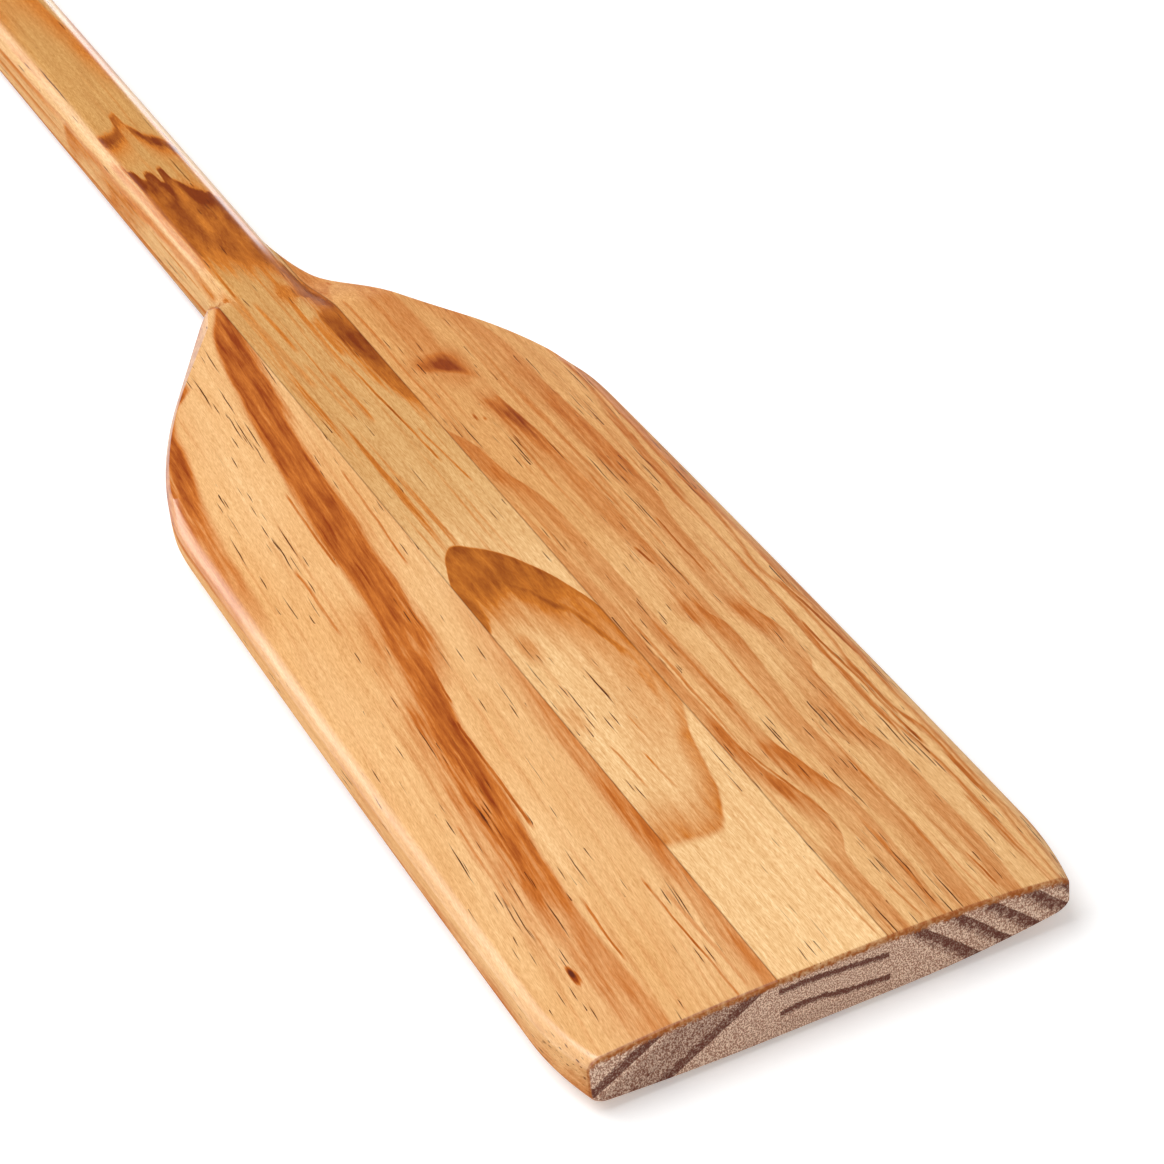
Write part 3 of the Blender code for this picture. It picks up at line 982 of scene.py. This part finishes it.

# %% [markdown]
# ## The core
#
# This strip is sawn nearly along its rings, so one of them comes up through the face and draws
# a long oval on the blade: a brown rim that is clear outside, frays inside, and is darkest
# where it points to the shaft. Beside the right glue line another ring comes up at the neck,
# and the shaft lies in its brown wood as far as a torn edge. The rounded edges are pale, partly
# since they are cut down below the brown and partly as a painted highlight.

# %% The oval on the blade
board = Board("core_pine", seed=5.2, wander=0.3)
streak, fray = board.streak, board.streak - 0.5
across, along, height = (board.place[name] for name in ("Across", "Along", "Height"))
place = board.place["Ring Place"]
OVAL_NEAR = [(-15.5, 55.5), (-8, 54), (-4, 53), (-1, 53), (2, 56), (4, 60), (7.5, 70),
             (9.5, 80), (12, 92), (15.5, 102)]
OVAL_FAR = [(-15.5, 182), (-13, 190), (-11, 195), (-7.5, 198.5), (-3, 195), (1.5, 190),
            (7, 180), (11, 170), (14, 160), (15.5, 152)]
OVAL_RIGHT = [(50, -2), (56, 2), (60, 4), (70, 7.5), (80, 9.5), (92, 12), (100, 15), (110, 17),
              (150, 17), (200, 17)]
CONTOUR = [(90, 5.5), (100, 8), (110, 10.5), (120, 12.3), (135, 11.5), (150, 8.5), (160, 5),
           (170, 0.5), (177, -3), (181, -7), (184, -18)]
LIMB = [(150, -20), (155, -16), (161, -12.8), (170, -11.3), (178, -9.8), (184, -6), (190, 0)]
from_near = along - follow(place, OVAL_NEAR)
from_far = follow(place, OVAL_FAR) - along
from_right = -beyond(board, OVAL_RIGHT)
gate = smooth(from_near, 0, 4) * smooth(from_far, 0, 1.6) * smooth(from_right, 0, 1.2)
outside = beyond(board, CONTOUR, 90, 190)
frayed = board.fibres["Mottle"] * 0.9 + outside
rim = follow(along, [(90, 0.38), (110, 0.46), (130, 0.52), (145, 0.6), (160, 0.72), (185, 0.8),
                     (200, 0.86)])
depth = calc("MINIMUM", from_far * 0.4, from_right)
rim = smooth(frayed, -0.8, 0.8) * rim * smooth(depth, 0.6, 6.5, 1.12, 0.5)
limb = smooth(streak * 1.2 - beyond(board, LIMB), 0.2, 2.6, 0, 0.76)
print("the oval runs from", OVAL_NEAR[3][1], "to", OVAL_FAR[3][1], "mm from the tip")

# %% Inside the oval
APEX_ALONG = 183
APEX_SLOPE = 0.38
inside = follow(along, [(90, 0.15), (110, 0.32), (140, 0.44), (158, 0.62), (172, 0.76),
                        (190, 0.8)])
inward = calc("MINIMUM", -outside, (-along + APEX_ALONG) * APEX_SLOPE)
inward = fray * 3 + inward
brim = smooth(inward, 0.6, 3.2, 1, 0)
inside = largest([brim, smooth(inward, 0.5, 17, 1, 0.05)]) * inside
near = smooth(from_near, 2, 28, 0.6, 0) * spread(streak, 1.1, 0.7)
flank = smooth(from_right, 1, 9, 0.58, 0) * smooth(along, 90, 112, 1, 0)
inner_line = smooth(abs(frayed - 0.2), 0, 3.4, 1, 0)
inner_line = inner_line * follow(along, [(92, 0), (112, 0.5), (135, 0.66), (155, 0.86),
                                         (178, 0.8)])
clouds = [stain(board, *cloud, streak * 0.5, 0.3, 1.6) for cloud in (
    ((147, -9), (10, 3.6), 0.4), ((113, -12.5), (9, 3.2), 0.3), ((176, -4), (7, 3.5), 0.86),
    ((100, 9), (12, 2.5), 0.3))]
oval = gate * largest([rim, limb, inside, near, flank, inner_line] + clouds)
print("clouds in the oval:", len(clouds))

# %% The band at the neck and the brown of the shaft
NECK_LOW = [(236, 16), (250, 14.5), (262, 13), (272, 10.5), (285, 8.5), (300, 7.5), (318, 6.5),
            (326, 9), (332, 9), (336, 5.5), (345, 7.5), (362, 8)]
NECK_SHARES = [(236, 0), (254, 0.45), (268, 0.8), (300, 0.92), (330, 0.88), (350, 0.8),
               (362, 0.78)]
neck_band = smooth(fray * 4 + beyond(board, NECK_LOW), -1, 3) * follow(along, NECK_SHARES)
TORN_EDGE = [(-13, 434), (-8, 431), (-6.5, 424), (-5, 428), (-3, 426), (-2, 420), (-1.3, 422),
             (-0.6, 428.5), (0.5, 428.5), (1.1, 420), (2.2, 417), (5, 410), (9.8, 403), (13.7, 396)]
SECOND_EDGE = [(-13, 458), (-5, 458), (-2.5, 461), (-1.5, 468), (0.3, 468.5), (0.9, 460),
               (2, 457), (4, 451), (6.2, 447.7), (9, 442), (13, 436)]
EDGE_REACH = (-13.75, 13.75)
mottle = streak + board.fibres["Fleck"] - 1
patches = []
for edge, shares, soft in (
        (TORN_EDGE, [(0, 0.95), (6, 1.08), (12, 1), (20, 0.86), (34, 0.8), (100, 0.76)], 2.4),
        (SECOND_EDGE, [(0, 0.8), (6, 0.95), (11, 0.7), (18, 0.3), (28, 0)], 4)):
    behind = mottle * 2.6 + (follow(across, edge, *EDGE_REACH) - along)
    patches.append(smooth(behind, -0.6, soft) * follow(behind, shares))
rough_along = across * 1.2 + (fray * 16 + along)
patches[0] = patches[0] * smooth(rough_along, 346, 366)
patches += [stain(board, *spot, mottle * 0.4, 0.2, 1.7) for spot in (
    ((378, -2), (15, 6), 0.86), ((396, 4), (16, 4), 0.95), ((338, 5), (7, 3), 0.7))]
# past_left and past_right keep the shaft's brown off the rounded edges: wood cut below the brown,
# and partly a painted highlight, mostly on the right rounding.
frayed = fray + across
past_left = smooth(frayed, -10, -9)
past_right = largest([smooth(frayed, 10.4, 9.8), smooth(along, 356, 350)])
on_top = smooth(height, 3, 5.5)
shaft_brown = largest(patches) * past_left * past_right * on_top
neck_band = neck_band * smooth(along, 352, 364, 1, 0) * on_top
print("brown patches on the shaft:", len(patches))

# %% Streaks, the sawn end and the hidden sides of the core
core_lines = [drawn_line(board, *line) for line in (
    ([(264, -0.6), (292, -0.8)], 1.1, 0.72), ([(222, 11.2), (252, 9)], 0.5, 0.7),
    ([(236, 7.6), (294, 5.4)], 0.55, 0.8), ([(298, 6.6), (320, 6)], 1.3, 0.7),
    ([(288, -8), (352, -11)], 1.5, 0.42), ([(300, -11.5), (346, -8.6)], 1.2, 0.5),
    ([(308, -5), (338, -5.4)], 1, 0.6), ([(316, 1.2), (352, 1)], 0.5, 0.6),
    ([(268, -4.2), (300, -6)], 0.9, 0.35), ([(2, 13.4), (30, 12)], 0.5, 0.5),
    ([(358.5, -8), (361, 8)], 0.8, 0.7), ([(374, -8.6), (398, -9)], 0.6, 0.9),
    ([(344, -8.6), (372, -8.6)], 0.6, 0.8), ([(404, -8.8), (436, -9.4)], 0.7, 0.8),
    ([(358, 8.2), (364, 9.3), (380, 9.8), (476, 9.8)], 0.6, 0.85),
    ([(76, -2), (92, -3)], 0.5, 0.6), ([(80, -8.4), (99, -9.2)], 0.5, 0.6),
    ([(96, 1), (108, 0.4)], 0.5, 0.55), ([(366, -10.4), (440, -10.9)], 1.2, 0.55),
    ([(352, -12.8), (478, -13.3)], 0.9, 0.7))]
core_rings = []
for points, share in (([(-15, 6.9), (-5, 6.8), (0, 6.3), (15, 4.8)], 1),
                      ([(-15, -0.7), (-9, 0), (-5, 0), (0, -1.2), (15, -2.8)], 1),
                      ([(-15, -4.6), (0, -5), (15, -6)], 0.3)):
    under = fray * 0.9 + (follow(across, points, -15.5, 15.5) - height)
    core_rings.append(smooth(under, -0.1, 0.5) * smooth(under, 1.3, 3.2, share, 0))
core_end = largest(core_rings) * smooth(along, 500, 900, 1, 0.45)
warp = drawn_noise(board.place["Grain"], 2, (0.02, 0.0042, 0.02), 1)
ring_height = warp * 26 + (height + across * across * 0.018)
unseen = largest([smooth(height, 2, -3), smooth(along, 468, 500)])
hidden = plain_rings(board, ring_height, 5.5, 0.6) * unseen
core_tan = follow(along, [(0, 0), (60, 0.12), (150, 0.2), (200, 0.5), (225, 0.72),
                          (340, 0.9), (400, 1.1), (480, 1.1)])
# The rounded edges get less tan: pale wood below the brown, and partly a painted highlight that
# makes them cream.
flat_off_pale_wood_and_sheen = largest([past_left * past_right, smooth(along, 338, 348, 1, 0)])
core_tan = core_tan * spread(flat_off_pale_wood_and_sheen, 0.45, 1)
core_fibres = follow(along, [(0, 0.12), (150, 0.2), (215, 0.6), (360, 0.7), (430, 0.3),
                             (480, 0.3)])
core_coat = smooth(along, 356, 376) * remap(across, -9, 9, 0.35, 1)
core_colours = ((241, 197, 141), (201, 149, 86), (198, 116, 39), (124, 50, 0))
core_share = largest([oval, neck_band, shaft_brown, hidden] + core_lines)
core_strip.data.materials.append(
    finish_board(board, core_colours, core_share, tan_share=core_tan, lines=core_fibres,
                 end_share=core_end, contrast=1.2, coated=core_coat))

# %% [markdown]
# ## The cheeks
#
# The photograph doesn't show the grip, so the two cheeks get plain pine from the same stack,
# with evenly spaced rings at a tilt of their own.

# %% Wood of the cheeks
for piece, seed in ((left_cheek, 1.3), (right_cheek, 6.9)):
    board = Board(piece.name + "_pine", seed, tilt=1.2)
    rings = plain_rings(board, board.place["Ring Place"], 7, 0.55)
    piece.data.materials.append(finish_board(board, left_colours, rings))

# %% [markdown]
# ## Floor
#
# The paddle lies on a sheet of white paper that is far larger than the picture. It throws light
# back onto the edges and keeps the paddle's shadow. The little light of its own that the camera
# sees, more of it where the lamps don't reach, makes the paper as white as the backdrop.

# %% Floor
FLOOR_HALF = 4
PAPER = (0.9, 0.9, 0.9, 1)
WHITE = (1, 1, 1, 1)
LIT_REACH = 0.8
DIM_REACH = 3
GLOW_NEAR = 0.25
GLOW_FAR = 0.75
sheet = bmesh.new()
corners = [sheet.verts.new((x * FLOOR_HALF, y * FLOOR_HALF, 0))
           for x, y in ((-1, -1), (1, -1), (1, 1), (-1, 1))]
sheet.faces.new(corners)
floor = object_of("floor", sheet)
paper = bpy.data.materials.new("white_paper")
paper.use_nodes = True
tree = paper.node_tree
shader = tree.nodes["Principled BSDF"].inputs
for name, value in (("Base Color", PAPER), ("Roughness", 1), ("Specular IOR Level", 0),
                    ("Emission Color", WHITE)):
    fill(shader[name], value)
floor_place = add(tree, "TexCoord", output="Object")
from_middle = add(tree, "VectorMath", floor_place, output="Value", operation="LENGTH")
glow = remap(from_middle, LIT_REACH, DIM_REACH, GLOW_NEAR, GLOW_FAR)
fill(shader["Emission Strength"], add(tree, "LightPath", output="Is Camera Ray") * glow)
floor.data.materials.append(paper)
print("floor, m:", 2 * FLOOR_HALF, "square")

# %% [markdown]
# ## Light
#
# A product table: an even white room, one large softbox overhead, a weak one in front so that
# the sawn end isn't black, and two small ones low behind. Those run along the rounded edges of
# the blade and the shaft, where the varnish throws them back almost white. The room seen
# directly, or in the varnish, is white paper too.

# %% Light
ROOM_LIGHT = 0.36
world = bpy.data.worlds.new("studio")
bpy.context.scene.world = world
world.use_nodes = True
background = world.node_tree.nodes["Background"].inputs
path = place_node(world.node_tree, "LightPath").outputs
seen = largest([Value(path[f"Is {ray} Ray"]) for ray in ("Camera", "Glossy", "Transmission")])
fill(background["Color"], WHITE)
fill(background["Strength"], spread(seen, ROOM_LIGHT, 1))


def softbox(name, place, aim, size, power):
    box = bpy.data.lights.new(name, "AREA")
    box.size = size
    box.energy = power
    stand = new_object(name, box)
    stand.location = place
    stand.rotation_euler = (Vector(aim) - stand.location).to_track_quat("-Z", "Y").to_euler()
    print(name, power, "W")


softbox("overhead", (-0.9, 0, 2.4), (0, -0.4, 0), 2, 51)
softbox("front", (-1.2, -2.6, 1), (0, -0.5, 0), 1.4, 14)
softbox("back_right", (1.15, 1.45, 0.42), (0, -0.3, 0), 0.9, 9)
softbox("back_left", (-1, 1.5, 0.85), (0, -0.3, 0), 1, 12)

# %% [markdown]
# ## Camera
#
# The camera stands low at the tip's left and looks up the blade, a little rolled. Its place and
# lens come from laying the model's outline over the photographed one.

# %% Camera
camera_data = bpy.data.cameras.new("camera")
camera_data.sensor_width = 36
camera_data.lens = 120.409
camera_data.shift_x = -0.008496
camera_data.shift_y = -0.003728
camera_data.clip_start = 0.05
camera_data.clip_end = 30
camera = new_object("camera", camera_data)
camera.location = (-0.32634, -1.20916, 0.69448)
camera.rotation_euler = [math.radians(angle) for angle in (51.1622, 4.4577, -27.8854)]
bpy.context.scene.camera = camera
bpy.context.scene.view_settings.view_transform = "Standard"
print("camera to the tip, m:", round((camera.location - Vector((0, frame_low[1], 0))).length, 2))
